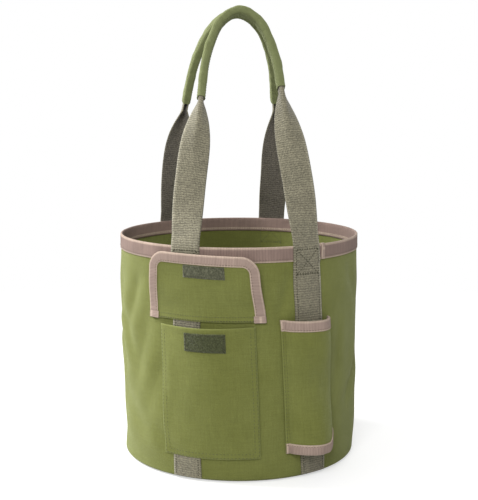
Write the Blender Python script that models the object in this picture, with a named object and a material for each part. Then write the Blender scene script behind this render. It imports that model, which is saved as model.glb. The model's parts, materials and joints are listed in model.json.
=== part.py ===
"""Round canvas tool bag with two webbing handles, a flap pocket and a tool sleeve.

Metres, +Z up. The origin is the centre of the base's underside and the pocket faces -Y.
Angles around the bag are in degrees from -Y towards +X.
The handles stand raised and lean together, and the pocket's flap is folded up against the wall.
"""

import math

import bmesh
import bpy
from mathutils import Matrix, Vector

# Driving dimensions of the bag
BAG_RADIUS = 0.159
BAG_HEIGHT = 0.298
CANVAS = 0.0014
TAPE = 0.0010
WEBBING = 0.0016
WEBBING_WIDTH = 0.038
GAP = 0.0004
STEP_DEGREES = 3.75
SHARP_DEGREES = 35

# Base and bindings
BASE_CORNER = 0.012
LINING = 0.0012
RIM_TAPE_HEIGHT = 0.017
RIM_ROUNDING = 0.6
BASE_TAPE_TOP = 0.012
BASE_TAPE_WIDTH = 0.0034
SIDE_SEAM_ANGLE = 88.0
SIDE_TAPE_WIDTH = 0.014

# Straps and handles
STRAP_ANGLE = 28.0
REAR_TURN = 187.0
STRAP_FOOT = 0.012
STRAP_STEP = 0.006
STRAP_STEP_TOP = 0.280
# The front right strap and the tool sleeve over it run askew, in degrees per metre of height
SLEEVE_TWIST = 20.0
HANDLE_LEAN = 22.5
HANDLE_PIVOT_RADIUS = 0.1545
HANDLE_PIVOT_Z = 0.303
TWIST_LENGTH = 0.090
LEVEL_LENGTH = 0.030
LEG_FOLD_START = 0.090
LEG_FOLD_END = 0.200
LEG_FOLD_SHAPE = 1.6
FOLD_DEGREES = 88.0
FOLD_BEND = 0.0036
# Half of each handle's centre line, from its strap to the top: (off the middle, distance up)
FRONT_LINE = (
    (0.0758, 0.000),
    (0.0696, 0.066),
    (0.0612, 0.132),
    (0.0545, 0.180),
    (0.0506, 0.215),
    (0.0458, 0.250),
    (0.0368, 0.281),
    (0.0240, 0.306),
    (0.0000, 0.3195),
)
REAR_LINE = (
    (0.0758, 0.000),
    (0.0738, 0.050),
    (0.0708, 0.115),
    (0.0670, 0.160),
    (0.0615, 0.200),
    (0.0552, 0.240),
    (0.0440, 0.275),
    (0.0265, 0.304),
    (0.0000, 0.3175),
)
GRIP_START = 0.203
GRIP_WALL = 0.0010
GRIP_NEAR_CORNER = 0.0030
GRIP_FAR_CORNER = 0.0008

# Front pocket and the closing patch on it
POCKET_LEFT, POCKET_RIGHT = -40.2, 5.0
POCKET_BOTTOM, POCKET_TOP = 0.032, 0.199
POCKET_BULGE = 0.0080
POCKET_ROUNDNESS = 0.8
POCKET_RISE = 1.1
PATCH_LEFT, PATCH_RIGHT = -26.4, -8.4
PATCH_BOTTOM, PATCH_TOP = 0.169, 0.190
PATCH = 0.0012
# The pocket is sewn on slightly askew, in degrees per metre of height about a level height
POCKET_TWIST = 15.0
TWIST_Z = 0.120

# Pocket flap, raised
FLAP_ANGLE = -19.8
FLAP_HALF_WIDTH = 0.0745
FLAP_TAPER = 0.085
FLAP_SEAM_Z = 0.207
FLAP_PIVOT_Z = 0.222
FLAP_BOTTOM = 0.2232
FLAP_TOP = 0.290
FLAP_CORNER = 0.020
FLAP_SAG = 0.0135
FLAP_RADIUS = 0.1655
FLAP_TAPE_WIDTH = 0.011
HOOK_BOTTOM, HOOK_TOP = 0.2625, 0.2775
HOOK_MIDDLE, HOOK_HALF_WIDTH = 0.0036, 0.0275

# Tool sleeve
SLEEVE_LEFT, SLEEVE_RIGHT = 17.4, 41.3
SLEEVE_BOTTOM, SLEEVE_TOP = 0.036, 0.206
SLEEVE_BULGE = 0.021
SLEEVE_ROUNDNESS = 0.85
SLEEVE_TAPE_WIDTH = 0.012

# Radii that follow from the thicknesses, working out from the wall
WALL_INNER = BAG_RADIUS - CANVAS
RIM_OUTER = BAG_RADIUS + GAP + TAPE
STRAP_INNER = BAG_RADIUS + GAP
STRAP_OVER_RIM = RIM_OUTER + GAP
SEWN_RADIUS = STRAP_INNER + WEBBING + GAP
HANDLE_FOOT_Z = BAG_HEIGHT + 4 * GAP

COLOURS = {
    "canvas": ((0.190, 0.225, 0.062), 0.92),
    "tape": ((0.280, 0.215, 0.165), 0.85),
    "webbing": ((0.205, 0.195, 0.110), 0.80),
    "hook_and_loop": ((0.075, 0.105, 0.045), 0.95),
    "lining": ((0.045, 0.047, 0.058), 0.80),
}


def clear_scene():
    for item in list(bpy.data.objects):
        bpy.data.objects.remove(item, do_unlink=True)


def polar(radius, degrees, z):
    angle = math.radians(degrees)
    return Vector((radius * math.sin(angle), -radius * math.cos(angle), z))


def spread(start, end, count):
    """count + 1 evenly spaced values from start to end."""
    return [start + (end - start) * i / count for i in range(count + 1)]


def angles_between(left, right):
    return spread(left, right, max(2, math.ceil((right - left) / STEP_DEGREES)))


def around():
    """Angles of a full turn, without a repeat of the first."""
    count = round(360 / STEP_DEGREES)
    return [i * 360 / count for i in range(count)]


def smooth(value):
    value = min(1.0, max(0.0, value))
    return value * value * (3 - 2 * value)


def principled(name, kind):
    colour, roughness = COLOURS[kind]
    material = bpy.data.materials.new(name)
    material.use_nodes = True
    shader = material.node_tree.nodes["Principled BSDF"]
    shader.inputs["Base Color"].default_value = (*colour, 1.0)
    shader.inputs["Roughness"].default_value = roughness
    shader.inputs["Metallic"].default_value = 0.0
    material.diffuse_color = (*colour, 1.0)
    return material


def pivot(name, place):
    empty = bpy.data.objects.new(name, None)
    empty.location = place
    bpy.context.scene.collection.objects.link(empty)
    bpy.context.view_layer.update()
    return empty


def finish(name, shape, kind, parent=None):
    """Links the shape as an object whose mesh is given in the bag's own frame."""
    bmesh.ops.recalc_face_normals(shape, faces=shape.faces)
    mesh = bpy.data.meshes.new(name)
    shape.to_mesh(mesh)
    shape.free()
    mesh.shade_smooth()
    mesh.set_sharp_from_angle(angle=math.radians(SHARP_DEGREES))
    mesh.materials.append(principled(name + "_material", kind))
    item = bpy.data.objects.new(name, mesh)
    bpy.context.scene.collection.objects.link(item)
    if parent:
        item.parent = parent
        item.matrix_parent_inverse = parent.matrix_world.inverted()
    return item


def skin(shape, rings, closed):
    """Joins each ring of vertices to the next with quads."""
    count = len(rings[0])
    pairs = list(zip(rings, rings[1:]))
    if closed:
        pairs.append((rings[-1], rings[0]))
    for first, second in pairs:
        for i in range(count):
            j = (i + 1) % count
            shape.faces.new((first[i], first[j], second[j], second[i]))


def loft(rings, closed=False):
    """A solid through rings of points, capped at both ends unless it closes on itself."""
    shape = bmesh.new()
    made = [[shape.verts.new(point) for point in ring] for ring in rings]
    skin(shape, made, closed)
    if not closed:
        shape.faces.new(made[0])
        shape.faces.new(reversed(made[-1]))
    return shape


def hollow_loft(outer, inner):
    """A tube with an inner surface, open at both ends."""
    shape = bmesh.new()
    outside = [[shape.verts.new(point) for point in ring] for ring in outer]
    inside = [[shape.verts.new(point) for point in ring] for ring in inner]
    skin(shape, outside, False)
    skin(shape, inside, False)
    for end in (0, -1):
        skin(shape, [outside[end], inside[end]], False)
    return shape


def upright(z):
    return 0.0


def pocket_turn(z):
    """Degrees by which the pocket is turned at a height."""
    return POCKET_TWIST * (TWIST_Z - z)


def sleeve_turn(z):
    return SLEEVE_TWIST * (TWIST_Z - z)


def right_strap_turn(z):
    return SLEEVE_TWIST * (BAG_HEIGHT - z)


def wall_sheet(angles, heights, inner_radius, thickness, turn=upright):
    """A sheet bent around the bag. inner_radius gives its inner face at an angle and a height."""
    rings = []
    for angle in angles:
        outer = [polar(inner_radius(angle, z) + thickness, angle + turn(z), z) for z in heights]
        inner = [polar(inner_radius(angle, z), angle + turn(z), z) for z in reversed(heights)]
        rings.append(outer + inner)
    return loft(rings)


def turned(profile):
    """A ring turned about the bag's axis from a closed profile of (radius, height) points."""
    return loft([[polar(radius, angle, z) for radius, z in profile] for angle in around()], True)


def disc(radius, bottom, thickness):
    shape = bmesh.new()
    count = round(360 / STEP_DEGREES)
    bmesh.ops.create_cone(
        shape, cap_ends=True, segments=count, radius1=radius, radius2=radius, depth=thickness
    )
    bmesh.ops.translate(shape, verts=shape.verts, vec=(0, 0, bottom + thickness / 2))
    return shape


# Bag body


def corner_arc(radius, centre_radius, centre_z, count=3):
    """A quarter circle from straight down to straight out, as (radius, height) points."""
    turns = [math.radians(degrees) for degrees in spread(0, 90, count)]
    return [(centre_radius + radius * math.sin(a), centre_z - radius * math.cos(a)) for a in turns]


def add_side_wall():
    centre = BAG_RADIUS - BASE_CORNER
    outer = corner_arc(BASE_CORNER, centre, BASE_CORNER) + [(BAG_RADIUS, BAG_HEIGHT)]
    inner = corner_arc(BASE_CORNER - CANVAS, centre, BASE_CORNER) + [(WALL_INNER, BAG_HEIGHT)]
    finish("side_wall", turned(outer + inner[::-1]), "canvas")


def add_base():
    base_radius = BAG_RADIUS - BASE_CORNER - GAP
    finish("base_panel", disc(base_radius, 0, CANVAS), "canvas")
    tape_outer = BAG_RADIUS - BASE_CORNER * 4 / 5
    tape_inner = tape_outer - BASE_TAPE_WIDTH
    tape_bottom = CANVAS + 2 * GAP
    finish("base_lining", disc(tape_inner - GAP, CANVAS + GAP, LINING), "lining")
    tape = [
        (tape_outer, tape_bottom),
        (tape_outer, BASE_TAPE_TOP),
        (tape_inner, BASE_TAPE_TOP),
        (tape_inner, tape_bottom),
    ]
    finish("base_seam_binding", turned(tape), "tape")


def add_rim_binding():
    low = BAG_HEIGHT - RIM_TAPE_HEIGHT
    over = BAG_HEIGHT + GAP
    fold = WALL_INNER - GAP
    profile = [
        (BAG_RADIUS + GAP, low),
        (RIM_OUTER, low),
        (RIM_OUTER, over + TAPE * RIM_ROUNDING),
        (BAG_RADIUS, over + TAPE),
        (WALL_INNER, over + TAPE),
        (fold - TAPE, over + TAPE * RIM_ROUNDING),
        (fold - TAPE, low),
        (fold, low),
        (fold, over),
        (BAG_RADIUS + GAP, over),
    ]
    finish("rim_binding", turned(profile), "tape")


def add_side_seam_binding():
    half = math.degrees(SIDE_TAPE_WIDTH / 2 / WALL_INNER)
    heights = [BASE_TAPE_TOP + GAP, BAG_HEIGHT - RIM_TAPE_HEIGHT - 2 * GAP]
    inner = WALL_INNER - 2 * GAP - TAPE
    angles = spread(SIDE_SEAM_ANGLE - half, SIDE_SEAM_ANGLE + half, 2)
    finish("side_seam_binding", wall_sheet(angles, heights, lambda a, z: inner, TAPE), "tape")


def strap_radius(z):
    """The strap lies on the wall and steps out over the rim's binding."""
    rise = smooth((z - STRAP_STEP_TOP) / STRAP_STEP + 1)
    return STRAP_INNER + (STRAP_OVER_RIM - STRAP_INNER) * rise


def add_straps():
    half = math.degrees(WEBBING_WIDTH / 2 / STRAP_INNER)
    on_the_wall = spread(STRAP_FOOT, STRAP_STEP_TOP - STRAP_STEP, 2)
    over_the_rim = spread(STRAP_STEP_TOP - STRAP_STEP / 2, STRAP_STEP_TOP, 1)
    heights = [*on_the_wall, *over_the_rim, BAG_HEIGHT + GAP]
    places = {
        "front_left_strap": (-STRAP_ANGLE, upright),
        "front_right_strap": (STRAP_ANGLE, right_strap_turn),
        "rear_right_strap": (REAR_TURN - STRAP_ANGLE, upright),
        "rear_left_strap": (REAR_TURN + STRAP_ANGLE, upright),
    }
    for name, (middle, turn) in places.items():
        angles = angles_between(middle - half, middle + half)
        strap = wall_sheet(angles, heights, lambda a, z: strap_radius(z), WEBBING, turn)
        finish(name, strap, "webbing")


def pocket_radius(angle, z):
    """Inner face of the pocket: sewn flat at three edges and bulging towards its mouth."""
    across = (angle - POCKET_LEFT) / (POCKET_RIGHT - POCKET_LEFT)
    up = (z - POCKET_BOTTOM) / (POCKET_TOP - POCKET_BOTTOM)
    roundness = math.sin(math.pi * across) ** POCKET_ROUNDNESS
    return SEWN_RADIUS + POCKET_BULGE * roundness * smooth(up * POCKET_RISE)


def add_front_pocket():
    angles = angles_between(POCKET_LEFT, POCKET_RIGHT)
    heights = spread(POCKET_BOTTOM, POCKET_TOP, 8)
    pocket = wall_sheet(angles, heights, pocket_radius, CANVAS, pocket_turn)
    finish("front_pocket", pocket, "canvas")
    patch_angles = spread(PATCH_LEFT, PATCH_RIGHT, 6)
    patch_heights = spread(PATCH_BOTTOM, PATCH_TOP, 2)

    def on_pocket(angle, z):
        return pocket_radius(angle, z) + CANVAS + GAP

    patch = wall_sheet(patch_angles, patch_heights, on_pocket, PATCH, pocket_turn)
    finish("pocket_loop_patch", patch, "hook_and_loop")


def sleeve_line(offset):
    """The sleeve's centre line seen from above, moved out by offset along its own normal."""
    middle = (SLEEVE_LEFT + SLEEVE_RIGHT) / 2
    points = []
    for across in spread(0, 1, 20):
        angle = SLEEVE_LEFT + (SLEEVE_RIGHT - SLEEVE_LEFT) * across
        bulge = SLEEVE_BULGE * math.sin(math.pi * across) ** SLEEVE_ROUNDNESS
        points.append(polar(SEWN_RADIUS + CANVAS / 2 + bulge, angle, 0))
    moved = []
    for i, point in enumerate(points):
        along = points[min(i + 1, len(points) - 1)] - points[max(i - 1, 0)]
        out = Vector((along.y, -along.x, 0)).normalized()
        if out.dot(polar(1, middle, 0)) < 0:
            out = -out
        moved.append(point + out * offset)
    return moved


def sleeve_solid(profile):
    """A closed profile of (offset, height) points carried along the sleeve's line."""
    columns = []
    for offset, z in profile:
        turn = Matrix.Rotation(math.radians(sleeve_turn(z)), 3, "Z")
        columns.append([turn @ point + Vector((0, 0, z)) for point in sleeve_line(offset)])
    return loft(list(zip(*columns)))


def edge_tape(edge, width, half, towards):
    """Tape folded over an edge at height edge. towards is +1 when the sheet is below the edge."""
    near = half + GAP
    far = near + TAPE
    foot = edge - towards * width
    top = edge + towards * GAP
    over = top + towards * TAPE
    return [
        (near, foot),
        (far, foot),
        (far, over),
        (-far, over),
        (-far, foot),
        (-near, foot),
        (-near, top),
        (near, top),
    ]


def add_tool_sleeve():
    half = CANVAS / 2
    sheet = [(half, SLEEVE_BOTTOM), (half, SLEEVE_TOP), (-half, SLEEVE_TOP), (-half, SLEEVE_BOTTOM)]
    finish("tool_sleeve", sleeve_solid(sheet), "canvas")
    top = edge_tape(SLEEVE_TOP, SLEEVE_TAPE_WIDTH, half, 1)
    finish("sleeve_top_binding", sleeve_solid(top), "tape")
    bottom = edge_tape(SLEEVE_BOTTOM, SLEEVE_TAPE_WIDTH, half, -1)
    finish("sleeve_bottom_binding", sleeve_solid(bottom), "tape")


# Pocket flap


def flap_narrowing(z):
    """Width of the flap at a height, as a share of its width along the seam."""
    return 1 - FLAP_TAPER * (z - FLAP_SEAM_Z) / (FLAP_TOP - FLAP_SEAM_Z)


def add_flap_hem():
    half = math.degrees(math.asin(FLAP_HALF_WIDTH / SEWN_RADIUS))
    heights = [FLAP_SEAM_Z, FLAP_PIVOT_Z - GAP]
    rings = []
    for away in angles_between(-half, half):
        places = [(FLAP_ANGLE + away * flap_narrowing(z), z) for z in heights]
        outer = [polar(SEWN_RADIUS + CANVAS, angle, z) for angle, z in places]
        inner = [polar(SEWN_RADIUS, angle, z) for angle, z in reversed(places)]
        rings.append(outer + inner)
    finish("flap_hem", loft(rings), "canvas")


def flap_point(x, z, lift):
    """A point on the flap: x along its width, lift away from the bag across its thickness."""
    sideways = polar(1, FLAP_ANGLE + 90, 0)
    out = polar(1, FLAP_ANGLE, 0)
    narrow = flap_narrowing(z)
    slope = -2 * FLAP_SAG * x / (FLAP_HALF_WIDTH**2 * narrow)
    normal = (out - sideways * slope).normalized()
    middle = FLAP_RADIUS - FLAP_SAG * (x / FLAP_HALF_WIDTH) ** 2
    return sideways * x * narrow + out * middle + normal * lift + Vector((0, 0, z))


def flap_top(x):
    """Height of the flap's edge, with a round corner at each side."""
    past = abs(x) - (FLAP_HALF_WIDTH - FLAP_CORNER)
    if past <= 0:
        return FLAP_TOP
    return FLAP_TOP - FLAP_CORNER + math.sqrt(max(0.0, FLAP_CORNER**2 - past**2))


def corner_steps(count=5):
    return [FLAP_CORNER * math.sin(math.radians(a)) for a in spread(0, 90, count)]


def flap_columns():
    straight = FLAP_HALF_WIDTH - FLAP_CORNER
    right = [straight + step for step in corner_steps()]
    return [-x for x in reversed(right)] + spread(-straight, straight, 12)[1:-1] + right


def add_flap_panel(parent):
    rings = []
    for x in flap_columns():
        heights = spread(FLAP_BOTTOM, flap_top(x), 4)
        outer = [flap_point(x, z, CANVAS / 2) for z in heights]
        inner = [flap_point(x, z, -CANVAS / 2) for z in reversed(heights)]
        rings.append(outer + inner)
    finish("flap_panel", loft(rings), "canvas", parent)


def flap_outline():
    """Edge points (x, z) with their outward directions, up the left side and down the right."""
    straight = FLAP_HALF_WIDTH - FLAP_CORNER
    high = FLAP_TOP - FLAP_CORNER
    outline = [(-FLAP_HALF_WIDTH, FLAP_BOTTOM, -1.0, 0.0)]
    for degrees in spread(0, 90, 6):
        turn = math.radians(degrees)
        x = -straight - FLAP_CORNER * math.cos(turn)
        z = high + FLAP_CORNER * math.sin(turn)
        outline.append((x, z, -math.cos(turn), math.sin(turn)))
    outline += [(x, FLAP_TOP, 0.0, 1.0) for x in spread(-straight, straight, 12)[1:-1]]
    for degrees in spread(90, 0, 6):
        turn = math.radians(degrees)
        x = straight + FLAP_CORNER * math.cos(turn)
        z = high + FLAP_CORNER * math.sin(turn)
        outline.append((x, z, math.cos(turn), math.sin(turn)))
    outline.append((FLAP_HALF_WIDTH, FLAP_BOTTOM, 1.0, 0.0))
    return outline


def add_flap_binding(parent):
    profile = edge_tape(0, FLAP_TAPE_WIDTH, CANVAS / 2, 1)
    rings = []
    for x, z, out_x, out_z in flap_outline():
        ring = [flap_point(x + out_x * past, z + out_z * past, lift) for lift, past in profile]
        rings.append(ring)
    finish("flap_binding", loft(rings), "tape", parent)


def add_hook_patch(parent):
    near = CANVAS / 2 + GAP
    left = HOOK_MIDDLE - HOOK_HALF_WIDTH
    right = HOOK_MIDDLE + HOOK_HALF_WIDTH
    rings = []
    for x in spread(left, right, 6):
        outer = [flap_point(x, z, near + PATCH) for z in (HOOK_BOTTOM, HOOK_TOP)]
        inner = [flap_point(x, z, near) for z in (HOOK_TOP, HOOK_BOTTOM)]
        rings.append(outer + inner)
    finish("flap_hook_patch", loft(rings), "hook_and_loop", parent)


def add_flap():
    hinge = pivot("flap_pivot", polar(FLAP_RADIUS, FLAP_ANGLE, FLAP_PIVOT_Z))
    add_flap_panel(hinge)
    add_flap_binding(hinge)
    add_hook_patch(hinge)


# Handles


def curve_through(points, per_span):
    """A smooth curve through points, as a Catmull-Rom spline, level where it ends."""
    mirrored_end = (-points[-2][0], points[-2][1])
    first = tuple(2 * a - b for a, b in zip(points[0], points[1]))
    padded = [first, *points, mirrored_end]
    line = []
    for a, b, c, d in zip(padded, padded[1:], padded[2:], padded[3:]):
        for i in range(per_span):
            t = i / per_span
            line.append(
                tuple(
                    0.5
                    * (
                        2 * q
                        + (r - p) * t
                        + (2 * p - 5 * q + 4 * r - s) * t**2
                        + (3 * q - p - 3 * r + s) * t**3
                    )
                    for p, q, r, s in zip(a, b, c, d)
                )
            )
    return [*line, points[-1]]


def handle_line(half_points):
    """Centre line of a whole handle as (across, up), from its right strap to its left strap."""
    half = curve_through(half_points, 3)
    return half + [(-x, up) for x, up in reversed(half[:-1])]


def handle_frames(line):
    """Places, widths, inward directions and heights along a handle standing in front."""
    lean = math.radians(HANDLE_LEAN)
    turn = math.radians(STRAP_ANGLE)
    rise = Vector((0, math.sin(lean), math.cos(lean)))
    inward = Vector((0, math.cos(lean), -math.sin(lean)))
    foot = Vector((0, -(STRAP_OVER_RIM + WEBBING / 2) * math.cos(turn), HANDLE_FOOT_Z))
    places = [foot + Vector((x, 0, 0)) + rise * up for x, up in line]
    frames = []
    for i, (x, up) in enumerate(line):
        along = places[min(i + 1, len(line) - 1)] - places[max(i - 1, 0)]
        along.normalize()
        at_strap = Vector((-math.copysign(math.sin(turn), x), math.cos(turn), 0))
        depth = at_strap.lerp(inward, smooth(up / TWIST_LENGTH))
        depth -= along * depth.dot(along)
        depth.normalize()
        level_width = Vector((0, 0, math.copysign(1, along.z))).cross(at_strap)
        raised = smooth(up / LEVEL_LENGTH)
        width = level_width.lerp(along.cross(depth), raised).normalized()
        frames.append((places[i], width, at_strap.lerp(depth, raised).normalized(), up))
    return frames


def folded_section(fold_degrees):
    """Webbing cut across and folded lengthwise: (across, depth) points of its two faces."""
    fold = math.radians(fold_degrees)
    lengths = [*spread(0, FOLD_BEND, 3)[1:], WEBBING_WIDTH / 2]
    across = depth = past = 0.0
    half_line = [(0.0, 0.0, 0.0)]
    for length in lengths:
        turn = fold * min(1.0, (length + past) / 2 / FOLD_BEND)
        across += (length - past) * math.cos(turn)
        depth += (length - past) * math.sin(turn)
        half_line.append((across, depth, turn))
        past = length
    line = [(-a, d, -turn) for a, d, turn in reversed(half_line[1:])] + half_line
    half = WEBBING / 2
    outer = [(a + half * math.sin(t), d - half * math.cos(t)) for a, d, t in line]
    inner = [(a - half * math.sin(t), d + half * math.cos(t)) for a, d, t in line]
    return outer + inner[::-1]


def placed(section, place, width, depth):
    return [place + width * across + depth * deep for across, deep in section]


def round_box(half_width, low, high, near_corner, far_corner, count=2):
    """A rectangle with round corners, larger ones at its low side, as (across, depth) points."""
    corners = (
        (half_width - near_corner, low + near_corner, near_corner, 270),
        (half_width - far_corner, high - far_corner, far_corner, 0),
        (far_corner - half_width, high - far_corner, far_corner, 90),
        (near_corner - half_width, low + near_corner, near_corner, 180),
    )
    points = []
    for across, deep, radius, start in corners:
        for degrees in spread(start, start + 90, count):
            turn = math.radians(degrees)
            points.append((across + radius * math.cos(turn), deep + radius * math.sin(turn)))
    return points


def grip_sections():
    """Outer and inner outlines of the sleeve, just clear of the webbing folded inside it."""
    folded = folded_section(FOLD_DEGREES)
    half_width = max(across for across, _ in folded) + GAP
    low = min(deep for _, deep in folded) - GAP
    high = max(deep for _, deep in folded) + GAP
    inner = round_box(half_width, low, high, GRIP_NEAR_CORNER, GRIP_FAR_CORNER)
    wall = GRIP_WALL
    outer = round_box(
        half_width + wall, low - wall, high + wall, GRIP_NEAR_CORNER + wall, GRIP_FAR_CORNER + wall
    )
    return outer, inner


def leg_fold(up):
    """Degrees that each half of the webbing is folded by, at a distance up the handle."""
    share = (up - LEG_FOLD_START) / (LEG_FOLD_END - LEG_FOLD_START)
    return FOLD_DEGREES * min(1.0, max(0.0, share)) ** LEG_FOLD_SHAPE


def turned_rings(rings, degrees):
    turn = Matrix.Rotation(math.radians(degrees), 3, "Z")
    return [[turn @ point for point in ring] for ring in rings]


def add_handle(name, half_points, degrees):
    """A handle made in front of the bag and turned about its axis into place."""
    hinge = pivot(name + "_pivot", polar(HANDLE_PIVOT_RADIUS, degrees, HANDLE_PIVOT_Z))
    outer_section, inner_section = grip_sections()
    webbing = []
    outer = []
    inner = []
    for place, width, depth, up in handle_frames(handle_line(half_points)):
        webbing.append(placed(folded_section(leg_fold(up)), place, width, depth))
        if up >= GRIP_START:
            outer.append(placed(outer_section, place, width, depth))
            inner.append(placed(inner_section, place, width, depth))
    finish(name + "_webbing", loft(turned_rings(webbing, degrees)), "webbing", hinge)
    grip = hollow_loft(turned_rings(outer, degrees), turned_rings(inner, degrees))
    finish(name + "_grip_sleeve", grip, "canvas", hinge)


def main():
    clear_scene()
    add_side_wall()
    add_base()
    add_rim_binding()
    add_side_seam_binding()
    add_straps()
    add_front_pocket()
    add_tool_sleeve()
    add_flap_hem()
    add_flap()
    add_handle("front_handle", FRONT_LINE, 0)
    add_handle("rear_handle", REAR_LINE, REAR_TURN)


main()
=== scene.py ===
"""Looks of the round canvas tool bag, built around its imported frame. Metres, +Z up.

Angles around the bag are in degrees from -Y, where the pocket is, towards +X.
Every visible piece is sewn onto one soft wall surface, so they all follow its folds.
"""

import json
import math

import bmesh
import bpy
import numpy as np
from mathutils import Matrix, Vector


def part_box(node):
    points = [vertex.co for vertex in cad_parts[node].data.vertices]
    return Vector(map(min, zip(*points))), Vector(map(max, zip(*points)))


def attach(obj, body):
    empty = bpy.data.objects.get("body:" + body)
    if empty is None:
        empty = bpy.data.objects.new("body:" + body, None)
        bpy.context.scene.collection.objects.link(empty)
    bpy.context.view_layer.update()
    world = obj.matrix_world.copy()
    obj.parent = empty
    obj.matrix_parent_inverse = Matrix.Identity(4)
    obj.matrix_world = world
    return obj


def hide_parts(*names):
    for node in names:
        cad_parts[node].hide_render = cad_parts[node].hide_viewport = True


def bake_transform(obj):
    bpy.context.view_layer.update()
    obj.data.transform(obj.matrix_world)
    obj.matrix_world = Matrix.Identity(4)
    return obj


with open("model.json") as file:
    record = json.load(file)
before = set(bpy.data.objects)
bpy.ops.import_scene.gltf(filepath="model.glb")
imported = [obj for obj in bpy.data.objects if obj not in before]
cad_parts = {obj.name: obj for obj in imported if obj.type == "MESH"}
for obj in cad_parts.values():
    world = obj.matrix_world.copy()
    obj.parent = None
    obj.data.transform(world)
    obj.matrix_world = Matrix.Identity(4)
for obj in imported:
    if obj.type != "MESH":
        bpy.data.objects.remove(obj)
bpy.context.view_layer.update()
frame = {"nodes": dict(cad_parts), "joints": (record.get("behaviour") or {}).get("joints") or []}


# The pocket, and the tool sleeve with the strap under it, are sewn on slightly askew, in
# degrees per metre of height
POCKET_TWIST = 15.0
SLEEVE_TWIST = 20.0
TWIST_Z = 0.12


def askew(z, twist):
    return twist * (TWIST_Z - z)


def corners(node):
    return np.array([v.co for v in frame["nodes"][node].data.vertices])


def span(node, twist=0.0):
    """Angles (with a twist taken out), heights and radii of a node, as (lowest, highest)."""
    points = corners(node)
    degrees = np.degrees(np.arctan2(points[:, 0], -points[:, 1])) - askew(points[:, 2], twist)
    radius = np.hypot(points[:, 0], points[:, 1])
    return [(float(a.min()), float(a.max())) for a in (degrees, points[:, 2], radius)]


# Places taken from the frame
_, (_, BAG_HEIGHT), (_, BAG_RADIUS) = span("side_wall")
BASE_RADIUS = span("base_panel")[2][1]
_, (RIM_LOW, RIM_TOP), _ = span("rim_binding")
STRAP_ANGLE = -sum(span("front_left_strap")[0]) / 2
POCKET_ANGLES, (POCKET_LOW, POCKET_HIGH), _ = span("front_pocket", POCKET_TWIST)
LOOP_ANGLES, (LOOP_LOW, LOOP_HIGH), _ = span("pocket_loop_patch", POCKET_TWIST)
TUBE_ANGLES, (TUBE_LOW, TUBE_HIGH), _ = span("tool_sleeve", SLEEVE_TWIST)
SIDE_SEAM_ANGLE = sum(span("side_seam_binding")[0]) / 2
HANDLE_FOOT_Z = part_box("front_handle_webbing")[0].z
JOINTS = {joint["name"]: joint for joint in frame["joints"]}
FLAP_PIVOT = JOINTS["flap_hinge"]["pos_m"]
FLAP_SEAM_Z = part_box("flap_hem")[0].z
FLAP_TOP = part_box("flap_panel")[1].z
HOOK_LOW, HOOK_HIGH = (corner.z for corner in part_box("flap_hook_patch"))

# Thicknesses of the cloths
CANVAS = 0.0013
TAPE = 0.0009
WEBBING = 0.0017
WEBBING_WIDTH = 0.038
GRIP_CLOTH = 0.0011
# Clear gap between two layers
GAP = 0.0001
# From the wall's face to the middle of a strap, and of canvas sewn over the straps
STRAP_LIFT = GAP + WEBBING / 2
SEWN_LIFT = STRAP_LIFT + WEBBING / 2 + CANVAS / 2
# From the middle of a canvas to tape folded over it, and to thread on the canvas and the tape
TAPE_LIFT = CANVAS / 2 + TAPE / 2 + GAP
ON_CANVAS = CANVAS / 2 + GAP
ON_TAPE = TAPE_LIFT + TAPE / 2 + GAP


# Number helpers


def smooth(value):
    value = np.clip(value, 0.0, 1.0)
    return value * value * (3 - 2 * value)


def polar(radius, degrees, z):
    angle = np.radians(degrees)
    radius, angle, z = np.broadcast_arrays(radius, angle, z)
    return np.stack([radius * np.sin(angle), -radius * np.cos(angle), z], -1)


def unit(vectors):
    return vectors / np.maximum(np.linalg.norm(vectors, axis=-1, keepdims=True), 1e-12)


def ripple(points, size, seed, stretch=(1, 1, 1)):
    """Smooth noise of about -1 to 1 at the points: a sum of plane waves about size long."""
    random = np.random.default_rng(seed)
    waves = 14
    scaled = points * np.array(stretch)
    total = np.zeros(points.shape[:-1])
    for _ in range(waves):
        direction = unit(random.normal(size=3))
        length = size * random.uniform(0.7, 1.7)
        total += np.sin(2 * math.pi * (scaled @ direction) / length + random.uniform(0, 6.28))
    return total / math.sqrt(waves)


# Mesh helpers


def grid_normals(grid, ring=False, tube=False):
    """Unit normals of a grid of points with shape (rows, columns, 3)."""

    def slope(axis, closed):
        if closed:
            return np.roll(grid, -1, axis) - np.roll(grid, 1, axis)
        return np.gradient(grid, axis=axis)

    return unit(np.cross(slope(0, ring), slope(1, tube)))


def add_item(name, data):
    item = bpy.data.objects.new(name, data)
    bpy.context.scene.collection.objects.link(item)
    return item


def add_mesh(name, vertices, faces, material):
    mesh = bpy.data.meshes.new(name)
    mesh.from_pydata(vertices.tolist(), [], faces)
    mesh.shade_smooth()
    mesh.materials.append(material)
    return add_item(name, mesh)


def distances(points, closed=False):
    """Distance along a line of points, with the closing step added when it is closed."""
    if closed:
        points = np.concatenate([points, points[:1]])
    steps = np.linalg.norm(np.diff(points, axis=0), axis=1)
    return np.concatenate([[0], np.cumsum(steps)])


def along_line(at, length, values):
    """Rows of values at places along a line, from their own places along it."""
    return np.stack([np.interp(at, length, column) for column in values.T], -1)


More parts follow.
